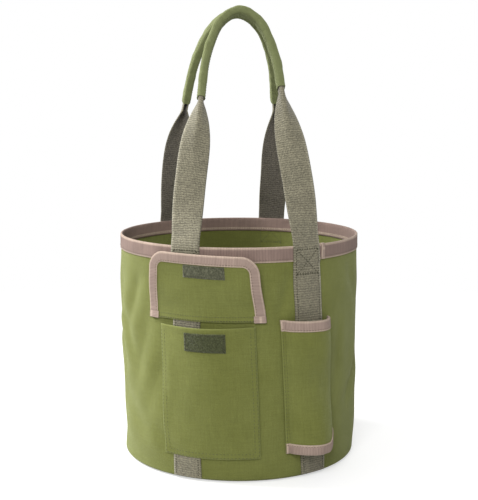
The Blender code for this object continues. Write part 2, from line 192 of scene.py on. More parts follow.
def cloth(name, grid, thickness, material, ring=False, tube=False):
    """A closed sheet of cloth around a grid of mid points, with round edges.

    ring joins its last row to its first, and tube its last column to its first. Its UVs are
    distances along the middle of the grid both ways. The inner face's UVs have 1 added across,
    so that a material can tell the two faces apart.
    """
    rows, cols = grid.shape[:2]
    count = rows * cols
    flat = grid.reshape(-1, 3)
    half = np.broadcast_to(thickness, (rows, cols))[..., None] / 2
    offset = (grid_normals(grid, ring, tube) * half).reshape(-1, 3)
    blocks = [flat + offset, flat - offset]
    edge = half.mean() * 0.8
    u = distances(grid[:, cols // 2], ring)
    v = distances(grid[rows // 2], tube)
    i, j = np.meshgrid(np.arange(len(u) - 1), np.arange(len(v) - 1), indexing="ij")
    i, j = (np.stack(k, -1).reshape(-1, 4) for k in ((i, i + 1, i + 1, i), (j, j, j + 1, j + 1)))
    index = i % rows * cols + j % cols
    faces = index.tolist() + (index + count).tolist()
    outer_uvs = np.stack([u[i], v[j]], -1).reshape(-1, 2)
    uvs = [outer_uvs, outer_uvs + (0, 1)]

    def add_edge(i, j, inward):
        """A round edge: the places (i, j) pushed out from their neighbours, and its faces."""
        i, j = np.broadcast_arrays(i, j)
        index = i % rows * cols + j % cols
        own = len(index) - int(index[0] == index[-1])
        start = sum(len(block) for block in blocks)
        points = flat[index[:own]]
        blocks.append(points - unit(flat[index[:own] + inward] - points) * edge)
        fringe = start + np.arange(len(index)) % own
        a, b, c, d = index[:-1], index[1:], fringe[1:], fringe[:-1]
        for quad in ((a, b, c, d), (d, c, b + count, a + count)):
            faces.extend(np.stack(quad, 1).tolist())
        spots = np.stack([u[i], v[j]], -1)
        corners = [spots[:-1], spots[1:], spots[1:], spots[:-1]]
        uvs.extend([np.stack(corners, 1).reshape(-1, 2)] * 2)
        return fringe

    down, along = np.arange(len(u)), np.arange(len(v))
    if not tube:
        sides = add_edge(down, 0, 1), add_edge(down, cols - 1, -1)
    if not ring:
        ends = add_edge(0, along, cols), add_edge(rows - 1, along, -cols)
    if not ring and not tube:
        for row, col in ((0, 0), (0, -1), (-1, 0), (-1, -1)):
            outer = row % rows * cols + col % cols
            side, end = int(sides[col][row]), int(ends[row][col])
            faces.append([outer, side, outer + count, end])
            uvs.append([(u[row], v[col])] * 4)
    item = add_mesh(name, np.concatenate(blocks), faces, material)
    layer = item.data.uv_layers.new(name="UVMap")
    layer.data.foreach_set("uv", np.concatenate(uvs).astype(np.float32).ravel())
    shape = bmesh.new()
    shape.from_mesh(item.data)
    bmesh.ops.recalc_face_normals(shape, faces=shape.faces)
    shape.to_mesh(item.data)
    shape.free()
    return item


def sew(name, grid, thickness, material, slot, body, *nodes, ring=False, tube=False):
    """A cloth() that moves with its body, with the nodes it stands for. slot is not used."""
    item = cloth(name, grid, thickness, material, ring, tube)
    if body:
        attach(item, body)
    if nodes:
        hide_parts(*nodes)
    return item


def sew_tape(name, grid, material, *nodes, body="bag", ring=False):
    return sew(name, grid, TAPE, material, "binding_tape", body, *nodes, ring=ring)


def bend(item, body, joint, low, high):
    """Bakes the piece's place into its mesh; it does not bend. body, joint, low and high are not
    used.
    """
    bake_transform(item)


def thread_ring():
    """One stitch: its rings of points as (along, side, up) shares, and its faces."""
    profile = ((-0.5, 0.25), (-0.3, 0.9), (0.0, 1.0), (0.3, 0.9), (0.5, 0.25))
    rings = [
        (along, fat * math.cos(turn) / 2, fat * math.sin(turn) * 0.4 - 1.4 * along**2)
        for along, fat in profile
        for turn in np.radians(np.arange(0, 360, 60))
    ]
    faces = [tuple(range(5, -1, -1)), tuple(range(24, 30))]
    for start in range(0, 24, 6):
        for k in range(start, start + 6):
            after = start + (k + 1) % 6
            faces.append((k, after, after + 6, k + 6))
    return np.array(rings), faces


def stitches(name, rows, material, body="bag", pitch=0.0036, length=0.0027, width=0.0009):
    """Rows of sewn thread. Each row is (points, normals) along a seam, on top of the cloth."""
    rings, ring_faces = thread_ring()
    blocks = []
    for points, normals in rows:
        total = distances(points)
        count = max(1, int(total[-1] / pitch))
        at = (np.arange(count) + 0.5) * total[-1] / count
        ahead, behind = (along_line(at + step, total, points) for step in (0.001, -0.001))
        along = unit(ahead - behind)
        up = unit(along_line(at, total, normals))
        side = unit(np.cross(up, along))
        axes = np.stack([along * length, side * width, up * width], 1)
        middle = along_line(at, total, points)[:, None]
        blocks.append(middle + np.einsum("pk,nkc->npc", rings, axes))
    vertices = np.concatenate(blocks).reshape(-1, 3)
    faces = []
    for base in range(0, len(vertices), len(rings)):
        faces += [tuple(base + k for k in face) for face in ring_faces]
    item = add_mesh(name, vertices, faces, material)
    if body:
        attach(item, body)
    return item


def lifted(surface, a, b, outward, lift):
    """Points lifted off surface(a, b), and its unit normals on the side of outward."""
    step = 0.0004
    first = surface(a + step, b) - surface(a - step, b)
    normal = np.cross(first, surface(a, b + step) - surface(a, b - step))
    normal = unit(normal * np.sign(np.sum(normal * outward, -1, keepdims=True)))
    return surface(a, b) + normal * lift, normal


# The soft wall that everything is sewn onto

BELLY = 0.0002
FOOT_TUCK = 0.0022
FOOT_CORNER = 0.005
BROAD_FOLD = 0.0014
UPRIGHT_FOLD = 0.001
CREASE_DEPTH = 1.35
CREASE_SPREAD = 1.7
# Creases of the soft wall: angle, height, lean in degrees, half length, half width, depth
CREASES = (
    (18, 0.236, 14, 0.04, 0.006, 0.002),
    (26, 0.18, -24, 0.034, 0.006, 0.0012),
    (-47, 0.11, 20, 0.04, 0.007, 0.0012),
    (-63, 0.222, 22, 0.04, 0.006, 0.0016),
    (-70, 0.18, -34, 0.036, 0.006, 0.0014),
    (-55, 0.165, 16, 0.05, 0.007, 0.0012),
    (-38, 0.045, -48, 0.03, 0.006, 0.001),
    (-86, 0.205, 28, 0.045, 0.007, 0.002),
    (-80, 0.155, -32, 0.04, 0.007, 0.0018),
    (-90, 0.105, 26, 0.04, 0.008, 0.0016),
    (-64, 0.075, -55, 0.045, 0.009, 0.0012),
    (68, 0.235, -40, 0.04, 0.007, 0.0018),
    (68, 0.114, 50, 0.042, 0.006, 0.002),
    (48, 0.16, 6, 0.045, 0.006, 0.0012),
    (104, 0.18, -26, 0.05, 0.008, 0.0018),
    (112, 0.09, 34, 0.045, 0.008, 0.0014),
    (-118, 0.21, -30, 0.045, 0.008, 0.0016),
    (-128, 0.11, 28, 0.05, 0.009, 0.0016),
    (176, 0.15, 60, 0.05, 0.01, 0.0012),
)


def creases(degrees, z):
    total = 0.0
    for angle, height, lean, half_length, half_width, depth in CREASES:
        x = np.radians((degrees - angle + 180) % 360 - 180) * BAG_RADIUS
        y = z - height
        sine, cosine = math.sin(math.radians(lean)), math.cos(math.radians(lean))
        fade = np.exp(-(((x * sine + y * cosine) / half_length) ** 4))
        share = (x * cosine - y * sine) / half_width / CREASE_SPREAD
        groove_shade = np.exp(-(share**2))
        shoulder = np.exp(-(((np.abs(share) - 2.0) / 1.3) ** 2))
        total = total - CREASE_DEPTH * depth * fade * (groove_shade - 0.5 * shoulder)
    return total


def wall_radius(degrees, z):
    """Radius of the wall cloth's outer face, which turns in under the bag at its foot."""
    place = polar(BAG_RADIUS, degrees, z)
    free = smooth(z / 0.04) * (1 - 0.75 * smooth((z - 0.24) / 0.05))
    belly = BELLY * np.sin(math.pi * np.clip(z / BAG_HEIGHT, 0, 1))
    tuck = FOOT_TUCK * (1 - smooth(z / 0.055))
    broad = ripple(place, 0.16, 5, (1, 1, 0.6)) * BROAD_FOLD
    upright = ripple(place, 0.06, 3, (1, 1, 0.22)) * UPRIGHT_FOLD
    radius = BAG_RADIUS + belly - tuck + (broad + upright + creases(degrees, z)) * free
    under = np.clip(1 - z / FOOT_CORNER, 0, 1)
    return BASE_RADIUS + (radius - BASE_RADIUS) * np.sqrt(1 - under**2)


def wall_normals(degrees, z):
    under = np.clip(1 - z / FOOT_CORNER, 0, 1)
    return polar(np.sqrt(1 - under**2), degrees, -under)


def on_wall(degrees, z, lift=0.0):
    """Points on the wall, lifted off its outer face."""
    place = polar(wall_radius(degrees, z), degrees, z)
    return place + wall_normals(degrees, z) * np.asarray(lift)[..., None]


# Materials


class Wiring:
    """A new material, with short calls for building its node tree."""

    def __init__(self, name):
        self.material = bpy.data.materials.new(name)
        self.material.use_nodes = True
        self.tree = self.material.node_tree
        coordinates = self.node("ShaderNodeTexCoord")
        self.uv, self.place = coordinates["UV"], coordinates["Object"]
        self.u, self.v, _ = self.node("ShaderNodeSeparateXYZ", {0: self.uv})

    def feed(self, node, inputs):
        """Links sockets to a node's inputs, or sets the inputs to plain values."""
        for key, value in dict(inputs).items():
            if isinstance(value, bpy.types.NodeSocket):
                self.tree.links.new(value, node.inputs[key])
            elif value is not None:
                node.inputs[key].default_value = value

    def node(self, kind, inputs=(), **settings):
        """The outputs of a new node."""
        node = self.tree.nodes.new(kind)
        for key, value in settings.items():
            setattr(node, key, value)
        self.feed(node, inputs)
        return node.outputs

    def shader(self, **inputs):
        """Feeds the shader's inputs, whose names have _ for spaces. Returns the material."""
        named = {name.replace("_", " "): value for name, value in inputs.items()}
        self.feed(self.tree.nodes["Principled BSDF"], named)
        return self.material

    def math(self, operation, a, b=None):
        return self.node("ShaderNodeMath", {0: a, 1: b}, operation=operation)[0]

    def times(self, a, b):
        return self.math("MULTIPLY", a, b)

    def noise(self, size, detail=3.0, stretch=(1, 1, 1), source=None, rough=0.5):
        """Noise whose features are about size metres across."""
        inputs = {0: self.place if source is None else source}
        inputs["Scale"] = [s / size for s in stretch]
        inputs = {0: self.node("ShaderNodeMapping", inputs)[0], "Scale": 1.0}
        inputs.update(Detail=detail, Roughness=rough)
        return self.node("ShaderNodeTexNoise", inputs)[0]

    def span(self, *numbers):
        """The first number, moved from the range of the next two to that of the last two."""
        return self.node("ShaderNodeMapRange", dict(enumerate(numbers)))[0]

    def mix(self, factor, a, b, blend="MIX"):
        inputs = {0: factor, 6: a, 7: b}
        return self.node("ShaderNodeMix", inputs, data_type="RGBA", blend_type=blend)[2]

    def tone(self, colour, value, dark, light, low=0.3, high=0.7):
        """Colour times a number that goes from dark to light as value goes from low to high."""
        number = self.span(value, low, high, dark, light)
        grey = self.node("ShaderNodeCombineColor", dict.fromkeys(range(3), number))[0]
        return self.mix(1.0, colour, grey, "MULTIPLY")

    def bump(self, height, distance, strength=1.0, normal=None):
        inputs = {"Strength": strength, "Distance": distance, "Height": height, "Normal": normal}
        return self.node("ShaderNodeBump", inputs)[0]

    def wave(self, coordinate, pitch):
        """sin along a coordinate, one full turn in twice the pitch."""
        return self.math("SINE", self.times(coordinate, math.pi / pitch))

    def ribs(self, coordinate, pitch):
        """Round ribs across a coordinate, one in each pitch."""
        return self.math("ABSOLUTE", self.wave(coordinate, pitch))

    def weave(self, pitch):
        """Height of a plain weave: threads pass over and under each other."""
        first, second = self.wave(self.u, pitch), self.wave(self.v, pitch)
        over = self.math("GREATER_THAN", self.times(first, second), 0.0)
        warp, weft = self.math("ABSOLUTE", first), self.math("ABSOLUTE", second)
        return self.math("ADD", weft, self.times(over, self.math("SUBTRACT", warp, weft)))


def rgb(red, green, blue):
    """Linear colour with alpha, from 0 to 255 display values."""
    channels = [c / 255 for c in (red, green, blue)]
    linear = [c / 12.92 if c <= 0.04045 else ((c + 0.055) / 1.055) ** 2.4 for c in channels]
    return (*linear, 1.0)


def canvas_material(name, colour, worn):
    """Plain-woven canvas with slubs, faint mottling, paler rubbed folds, and painted shade in
    the weave's hollows.
    """
    wire = Wiring(name)
    weave = wire.weave(CANVAS_THREAD)
    ways = (0.06, 1, 1), (1, 0.06, 1)
    slubs = wire.math("ADD", *(wire.noise(0.0013, 2, way, wire.uv) for way in ways))
    base = wire.mix(wire.span(wire.noise(0.06), 0.35, 0.7, 0.0, 0.3), colour, worn)
    base = wire.tone(base, slubs, 0.91, 1.09, 0.6, 1.4)
    for stretch in ((0.12, 1, 1), (1, 0.12, 1)):
        base = wire.tone(base, wire.noise(0.0035, 2, stretch, wire.uv), 0.965, 1.035)
    # Painted shade: the colour is darker in the hollows of the weave.
    base = wire.tone(base, weave, 0.88, 1.05, 0.0, 1.0)
    base = wire.tone(base, wire.noise(0.0016), 0.92, 1.07)
    wear = wire.node("ShaderNodeNewGeometry")["Pointiness"]
    base = wire.mix(wire.span(wear, 0.505, 0.56, 0.0, 0.35), base, worn)
    soft = wire.bump(wire.noise(0.012), 0.0007, 0.3)
    rough = wire.bump(slubs, 0.00025, 0.6, soft)
    return wire.shader(
        Base_Color=base,
        Roughness=wire.span(slubs, 0.6, 1.4, 0.96, 0.82),
        Sheen_Weight=0.4, Sheen_Roughness=0.45, Sheen_Tint=SHEEN, Specular_IOR_Level=0.25,
        Normal=wire.bump(weave, 0.0002, 0.6, rough),
    )


def webbing_material():
    """Ribbed webbing with painted shade between its ribs, darker on its inner side. U runs along
    it and V across it.
    """
    middle, edge = rgb(128, 123, 103), rgb(152, 147, 126)
    groove_shade, inside = rgb(66, 62, 48), rgb(106, 100, 92)
    wire = Wiring("olive_webbing")
    inner = wire.math("GREATER_THAN", wire.v, 0.5)
    v = wire.math("SUBTRACT", wire.v, inner)
    stagger = wire.times(wire.wave(v, 2 * STRAND_PITCH), 0.0003)
    ribs = wire.times(wire.ribs(wire.math("ADD", wire.u, stagger), RIB_PITCH), 0.6)
    height = wire.math("ADD", ribs, wire.times(wire.ribs(v, STRAND_PITCH), 0.4))
    from_middle = wire.math("ABSOLUTE", wire.math("SUBTRACT", v, WEBBING_WIDTH / 2))
    base = wire.mix(wire.span(from_middle, 0.016, 0.0178, 0.0, 0.8), middle, edge)
    base = wire.mix(wire.times(inner, 0.85), base, inside)
    # Painted shade: a dark colour where the ribs dip.
    base = wire.mix(wire.span(height, 0.1, 0.7, 0.75, 0.0), base, groove_shade)
    base = wire.tone(base, wire.noise(0.02, 4), 0.9, 1.1)
    base = wire.tone(base, wire.noise(0.0022, 2), 0.68, 1.32)
    return wire.shader(
        Base_Color=base, Normal=wire.bump(height, 0.0007, 0.9),
        Roughness=0.75, Specular_IOR_Level=0.3, Sheen_Weight=0.2,
    )


def tape_material(name, colour, edge, width, pale_start=0.0):
    """Grosgrain binding tape with fine ribs across it, painted shade and highlight on the ribs,
    and paler rolled edges.

    pale_start is the length that is paler at its start, where its end is folded under.
    """
    wire = Wiring(name)
    ribs = wire.ribs(wire.u, GROSGRAIN_PITCH)
    nearest = wire.math("PINGPONG", wire.v, width)
    at_fold = wire.span(nearest, width - 0.0021, width - 0.001, 0.0, 0.8)
    pale = wire.math("MAXIMUM", wire.span(nearest, 0.001, 0.0019, 1.0, 0.0), at_fold)
    if pale_start:
        at_start = wire.span(wire.u, pale_start, pale_start + 0.0003, 1.0, 0.0)
        pale = wire.math("MAXIMUM", pale, at_start)
    base = wire.mix(wire.times(pale, 0.75), colour, edge)
    base = wire.tone(base, wire.noise(0.003, 2, (1, 0.1, 1), wire.uv), 0.92, 1.08)
    # Painted shade and highlight: darker between the ribs and lighter on their crests.
    base = wire.tone(base, ribs, 0.72, 1.1, 0.0, 1.0)
    base = wire.tone(base, wire.noise(0.03), 0.92, 1.08)
    return wire.shader(
        Base_Color=base, Normal=wire.bump(ribs, 0.0003, 0.8),
        Roughness=0.8, Specular_IOR_Level=0.15, Sheen_Weight=0.05,
    )


def nap_material(name, colour, tip_highlight, size):
    """Hook-and-loop tape: a dense nap of fine loops, with a painted highlight on their tops."""
    wire = Wiring(name)
    loops = wire.noise(size, 4, rough=0.65)
    # Painted highlight: paler where the loops stand highest.
    base = wire.mix(wire.span(loops, 0.42, 0.66, 0.0, 1.0), colour, tip_highlight)
    return wire.shader(
        Base_Color=wire.tone(base, wire.noise(size * 3, 2), 0.75, 1.15),
        Normal=wire.bump(loops, 0.001, 1.0),
        Roughness=0.95, Sheen_Weight=0.4, Sheen_Roughness=0.4, Specular_IOR_Level=0.2,
    )


def lining_material():
    """Smooth coated lining with a fine weave, painted shade in its hollows, and a dull shine on
    its wrinkles.
    """
    wire = Wiring("lining_cloth")
    weave = wire.weave(LINING_THREAD)
    dust = wire.noise(0.03, 5)
    base = wire.mix(wire.span(dust, 0.35, 0.75, 0.0, 1.0), rgb(52, 53, 60), rgb(84, 86, 92))
    return wire.shader(
        # Painted shade: the colour is darker in the hollows of the weave.
        Base_Color=wire.tone(base, weave, 0.85, 1.05, 0.0, 1.0),
        Roughness=wire.span(dust, 0.3, 0.7, 0.5, 0.75),
        Normal=wire.bump(weave, 0.00015, 0.6),
    )


def thread_material(name, colour):
    wire = Wiring(name)
    return wire.shader(
        Base_Color=wire.tone(colour, wire.noise(0.0006, 1), 0.8, 1.15), Roughness=0.6
    )


def floor_material():
    """A pale floor that fades out with distance, so that it has no horizon."""
    wire = Wiring("studio_floor")
    seen = wire.node("ShaderNodeLightPath")["Is Camera Ray"]
    reach = wire.node("ShaderNodeVectorMath", {0: wire.place}, operation="LENGTH")["Value"]
    return wire.shader(
        Base_Color=wire.tone((0.55, 0.55, 0.55, 1.0), wire.noise(0.4), 0.99, 1.0),
        Roughness=0.8, Specular_IOR_Level=0.1,
        Emission_Color=WHITE, Emission_Strength=wire.times(seen, FLOOR_GLOW),
        Alpha=wire.span(reach, *FLOOR_FADE, 1.0, 0.0),
    )


CANVAS_THREAD = 0.0007
LINING_THREAD = 0.0006
RIB_PITCH = 0.0031
STRAND_PITCH = 0.0016
GROSGRAIN_PITCH = 0.0019
SHEEN = rgb(208, 216, 168)
WHITE = (1.0, 1.0, 1.0, 1.0)
FLOOR_FADE = (0.35, 1.3)
FLOOR_GLOW = 0.56
FLAP_TAPE_WIDTH = 0.011
SLEEVE_TAPE_WIDTH = 0.012
RIM_TAPE_WIDTH = RIM_TOP - RIM_LOW
TAUPE = rgb(136, 116, 107)
PALE_TAUPE = rgb(158, 138, 127)
CREAM = rgb(192, 172, 154)
GREEN = canvas_material("green_canvas", rgb(108, 112, 55), rgb(129, 134, 76))
GRIP_GREEN = canvas_material("grip_canvas", rgb(106, 112, 72), rgb(132, 138, 98))
OLIVE_WEBBING = webbing_material()
TAUPE_TAPE = tape_material("taupe_tape", TAUPE, CREAM, RIM_TAPE_WIDTH - 0.0005)
FLAP_TAUPE_TAPE = tape_material("flap_taupe_tape", PALE_TAUPE, CREAM, FLAP_TAPE_WIDTH + 0.001)
SLEEVE_TAUPE_TAPE = tape_material(
    "sleeve_taupe_tape", PALE_TAUPE, CREAM, SLEEVE_TAPE_WIDTH + 0.001, 0.0022
)
INNER_TAPE = tape_material("inner_tape", rgb(150, 140, 118), rgb(186, 178, 152), 0.01)
LOOP_NAP = nap_material("loop_nap", rgb(58, 62, 38), rgb(90, 94, 66), 0.0012)
HOOK_NAP = nap_material("hook_nap", rgb(76, 77, 60), rgb(112, 113, 92), 0.0016)
LINING = lining_material()
# Green thread, darker than the canvas, so that its stitches also paint the shade of the stitch
# holes and of the gaps along the sewn edges.
GREEN_THREAD_PAINTED_SHADE = thread_material("green_thread_painted_shade", rgb(84, 89, 44))
OLIVE_THREAD = thread_material("olive_thread", rgb(58, 56, 36))
# Taupe thread, darker than the tapes, so that its stitches also paint the contact shadow along
# the tapes' sewn edges.
TAUPE_THREAD_PAINTED_SHADE = thread_material("taupe_thread_painted_shade", rgb(114, 97, 84))


# Bag body

SEAM_STEP = 0.0014
# Angles between which the rim tape's end laps over its start
RIM_LAP = (36.4, 38.6)


def add_wall():
    degrees = np.arange(0, 360, 0.6)
    turns = np.radians(np.linspace(0, 90, 9)[:-1])
    foot = FOOT_CORNER * (1 - np.cos(turns))
    heights = np.concatenate([foot, np.linspace(FOOT_CORNER, BAG_HEIGHT, 130)])
    grid = on_wall(degrees[:, None], heights, -CANVAS / 2)
    sew("side_wall_cloth", grid, CANVAS, GREEN, "canvas", "bag", "side_wall", ring=True)


def disc_grid(radius, z, rings, count):
    """A flat round sheet with a pinhole at its centre, as a grid closed around."""
    degrees = np.arange(count) * 360 / count
    return polar(np.linspace(0.0008, radius, rings), degrees[:, None], z)


def planar_uv(item):
    """UVs straight down, for a sheet that lies flat."""
    places = np.array([vertex.co[:2] for vertex in item.data.vertices], np.float32)
    index = [loop.vertex_index for loop in item.data.loops]
    item.data.uv_layers["UVMap"].data.foreach_set("uv", places[index].ravel())


def lining_wrinkles(grid):
    reach = np.hypot(grid[..., 0], grid[..., 1])
    free = 1 - smooth((reach - 0.105) / 0.035)
    broad = ripple(grid, 0.09, 21) * 0.0011
    sharp = np.clip(1 - np.abs(ripple(grid, 0.05, 22)) * 1.4, 0, 1) ** 3 * 0.0016
    return (broad + sharp + 0.0012) * free


def add_base():
    grid = disc_grid(BASE_RADIUS - SEAM_STEP, CANVAS / 2, 30, 180)
    around = {"ring": True}
    planar_uv(sew("base_cloth", grid, CANVAS, GREEN, "canvas", "bag", "base_panel", **around))
    grid = disc_grid(BASE_RADIUS - 0.002, CANVAS + 0.0012, 80, 240)
    grid[..., 2] += lining_wrinkles(grid)
    slot = node = "base_lining"
    planar_uv(sew("base_lining_cloth", grid, 0.001, LINING, slot, "bag", node, **around))


def folded(sheet, width, lift):
    """A grid of tape folded over an edge, where sheet(past the edge, lift) gives its points."""
    legs = np.linspace(-width, 0, 6)[:-1]
    turns = np.linspace(0, math.pi, 5)
    past = np.concatenate([legs, lift * np.sin(turns), legs[::-1]])
    lifts = np.concatenate([lift + 0 * legs, lift * np.cos(turns), 0 * legs - lift])
    return np.stack([sheet(*place) for place in zip(past, lifts)], 1)


def rim_tape_grid(degrees, lift):
    """Tape folded over the wall's top edge."""
    pucker = np.abs(ripple(polar(BAG_RADIUS, degrees, 0), 0.012, 31)) * 0.00018

    def sheet(past, lift):
        z = BAG_HEIGHT + 0.0002 + past
        middle = wall_radius(degrees, min(z, BAG_HEIGHT)) - CANVAS / 2
        return polar(middle + lift + np.sign(lift) * pucker, degrees, z)

    return folded(sheet, RIM_TAPE_WIDTH - 0.001, lift)


def add_rim_tape():
    grid = rim_tape_grid(np.arange(0, 360, 0.75), TAPE_LIFT)
    sew_tape("rim_tape", grid, TAUPE_TAPE, "rim_binding", ring=True)
    lap = rim_tape_grid(np.linspace(*RIM_LAP, 9), TAPE_LIFT + TAPE)
    sew_tape("rim_tape_lap", lap, SLEEVE_TAUPE_TAPE)
    degrees = np.linspace(0, 360, 721)
    rows = [row(degrees, RIM_LOW + 0.0032, TAPE + 0.0002) for row in (seam_row, inner_row)]
    stitches("rim_stitches", rows, TAUPE_THREAD_PAINTED_SHADE)


def seam_row(degrees, z, lift):
    """A line of sewing on the wall, with its outward normals."""
    return on_wall(degrees, z, lift), wall_normals(degrees, z)


def inner_row(degrees, z, lift):
    """A line of sewing on the wall's inner face."""
    return on_wall(degrees, z, -CANVAS - lift), -wall_normals(degrees, z)


def add_inner_tapes():
    degrees = np.arange(0, 360, 1.2)
    lean = math.radians(24)
    wave = ripple(polar(BAG_RADIUS, degrees, 0), 0.045, 41) * 0.0008

    def standing(past, lift):
        """The round seam's tape stands up beside the lining and leans in."""
        along = past + 0.0112
        radius = BASE_RADIUS + 0.0014 - along * math.sin(lean) + lift * math.cos(lean)
        z = 0.0036 + along * math.cos(lean) + lift * math.sin(lean)
        return polar(radius + wave * along / 0.01, degrees, z)

    grid = folded(standing, 0.0085, 0.0017)
    sew_tape("base_seam_tape", grid, INNER_TAPE, "base_seam_binding", ring=True)
    z = np.linspace(*(corner.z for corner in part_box("side_seam_binding")), 90)[:, None]
    across = np.linspace(-0.0068, 0.0068, 13)
    bulge = 0.0012 * np.cos(across / 0.0068 * math.pi / 2) ** 0.5
    wobble = ripple(polar(0.1, 0, z), 0.08, 43) * 0.0007
    degrees = SIDE_SEAM_ANGLE + np.degrees((across + wobble) / BAG_RADIUS)
    grid = on_wall(degrees, z, -CANVAS - TAPE / 2 - GAP - bulge)
    sew_tape("side_seam_tape", grid, INNER_TAPE, "side_seam_binding")


# Straps and handles

STRAP_FOOT = 0.004
HANDLE_LEAN = math.radians(22.5)
TWIST_LENGTH = 0.09
LEVEL_LENGTH = 0.03
FOLD_DEGREES = 88.0
FOLD_BEND = 0.0036
FOLD_SHAPE = 1.6
GRIP_DEPTH = 0.0194
STRAP_BOX = (BAG_HEIGHT - 0.0345, BAG_HEIGHT - 0.0025)
# Half of each handle's line from its strap to the top, as distances off the middle and up.
# crush is the share of its depth that the folded webbing loses. Then where the legs start and
# finish folding and where the grips start, the last two for the right and the left leg.
HANDLES = {
    "front_handle": {
        "aside": (0.0758, 0.0696, 0.0612, 0.0545, 0.0506, 0.0458, 0.0368, 0.024, 0.0),
        "up": (0.0, 0.066, 0.132, 0.18, 0.215, 0.25, 0.281, 0.306, 0.3195),
        "crush": 0.22,
        "fold_start": 0.102,
        "fold_end": (0.206, 0.195),
        "grip_start": (0.211, 0.198),
    },
    "rear_handle": {
        "aside": (0.0758, 0.0738, 0.0708, 0.067, 0.0615, 0.0552, 0.044, 0.0265, 0.0),
        "up": (0.0, 0.05, 0.115, 0.16, 0.2, 0.24, 0.275, 0.304, 0.3175),
        "crush": 0.38,
        "fold_start": 0.092,
        "fold_end": (0.18, 0.18),
        "grip_start": (0.19, 0.19),
    },
}


def handle_turn(name):
    """Degrees around the bag from the front to the middle of a handle."""
    axis = JOINTS[name + "_swing"]["axis"]
    return math.degrees(math.atan2(axis[1], axis[0]))


def strap_angle(name, hand, z):
    """Degrees around the bag of a strap's middle. Only the front right strap is askew."""
    moved = SLEEVE_TWIST * (BAG_HEIGHT - np.minimum(z, BAG_HEIGHT))
    return handle_turn(name) + STRAP_ANGLE * hand + moved * (hand > 0) * (name == "front_handle")


def turned(vectors, degrees):
    c, s = math.cos(math.radians(degrees)), math.sin(math.radians(degrees))
    return vectors @ np.array([[c, s, 0], [-s, c, 0], [0, 0, 1]])


def spline(line, per_span):
    """A Catmull-Rom curve that meets its own mirror image at its last point."""
    before = 2 * line[0] - line[1]
    after = line[-2] * np.array([-1, 1])
    padded = np.concatenate([[before], line, [after]])
    t = (np.arange(per_span) / per_span)[:, None]
    out = []
    for p, q, r, s in zip(padded, padded[1:], padded[2:], padded[3:]):
        square = (2 * p - 5 * q + 4 * r - s) * t**2
        cube = (3 * q - p - 3 * r + s) * t**3
        out.append((2 * q + (r - p) * t + square + cube) / 2)
    return np.concatenate([*out, line[-1:]])


def strap_lift(z):
    """Height of the strap's middle off the wall: it steps out over the rim's tape."""
    rise = smooth((z - (RIM_LOW - 0.006)) / 0.006)
    return STRAP_LIFT + (TAPE + 0.0002) * rise


def loop_line(name):
    """The middle of one whole loop of webbing, as if it stood in front of the bag.

    It runs from the right strap's foot over the top to the left strap's foot. Returns its
    points, the distance of each up the handle, and +1 on the right half and -1 on the left.
    """
    half = spline(np.stack([HANDLES[name]["aside"], HANDLES[name]["up"]], -1), 24)
    line = np.concatenate([half, (half * [-1, 1])[-2::-1]])
    foot_y = -(BAG_RADIUS + strap_lift(BAG_HEIGHT)) * math.cos(math.radians(STRAP_ANGLE))
    x, up = line.T
    raised = [x, foot_y + up * math.sin(HANDLE_LEAN), HANDLE_FOOT_Z + up * math.cos(HANDLE_LEAN)]
    strap_z = np.arange(STRAP_FOOT, HANDLE_FOOT_Z - 0.0004, 0.001)
    legs = []
    for hand in (1, -1):
        leg = on_wall(strap_angle(name, hand, strap_z), strap_z, strap_lift(strap_z))
        legs.append(turned(leg, -handle_turn(name)))
    every = np.concatenate([legs[0], np.stack(raised, -1), legs[1][::-1]])
    below = strap_z - HANDLE_FOOT_Z
    up = np.concatenate([below, up, below[::-1]])
    length = distances(every)
    at = np.linspace(0, length[-1], int(length[-1] / 0.001) + 1)
    hand = np.where(at < length[-1] / 2, 1.0, -1.0)
    return along_line(at, length, every), np.interp(at, length, up), hand


def loop_frames(name):
    """Places, widths, inward depths, distances up and sides along a loop, in front."""
    every, up, hand = loop_line(name)
    along = unit(np.gradient(every, axis=0))
    inward = np.array([0, math.cos(HANDLE_LEAN), -math.sin(HANDLE_LEAN)])
    turn = math.radians(STRAP_ANGLE)
    zero = 0 * hand
    at_strap = np.stack([-hand * math.sin(turn), zero + math.cos(turn), zero], -1)
    mixing = smooth(up / TWIST_LENGTH)[:, None]
    depth = at_strap * (1 - mixing) + inward * mixing
    depth = unit(depth - along * np.sum(depth * along, -1, keepdims=True))
    level_width = np.cross(np.stack([zero, zero, hand], -1), at_strap)
    raised = smooth(up / LEVEL_LENGTH)[:, None]
    width = unit(level_width * (1 - raised) + np.cross(along, depth) * raised)
    depth = unit(at_strap * (1 - raised) + depth * raised)
    return every, width, depth, up, hand


def soften(values):
    """A moving average along the first axis that keeps the ends."""
    kernel = np.hanning(17)[1:-1]
    padded = np.pad(values, ((7, 7), (0, 0)), "edge")
    kernel /= kernel.sum()
    return np.stack([np.convolve(column, kernel, "valid") for column in padded.T], -1)


def fold_lines(fold, across, crush):
    """Folded webbing cut across: (sideways, depth) of each point across, for each fold angle.

    crush is the share of its depth that it loses when it is fully folded.
    """
    arc = np.linspace(0, WEBBING_WIDTH / 2, 61)
    turn = np.radians(fold) * np.minimum(1.0, (arc[1:] + arc[:-1]) / 2 / FOLD_BEND)
    lines = []
    for steps in (np.cos(turn), np.sin(turn)):
        total = np.cumsum(np.concatenate([0 * fold, steps], 1), 1) * arc[1]
        lines.append(np.stack([np.interp(np.abs(across), arc, row) for row in total]))
    return lines[0] * np.sign(across), lines[1] * (1 - crush * fold / FOLD_DEGREES)


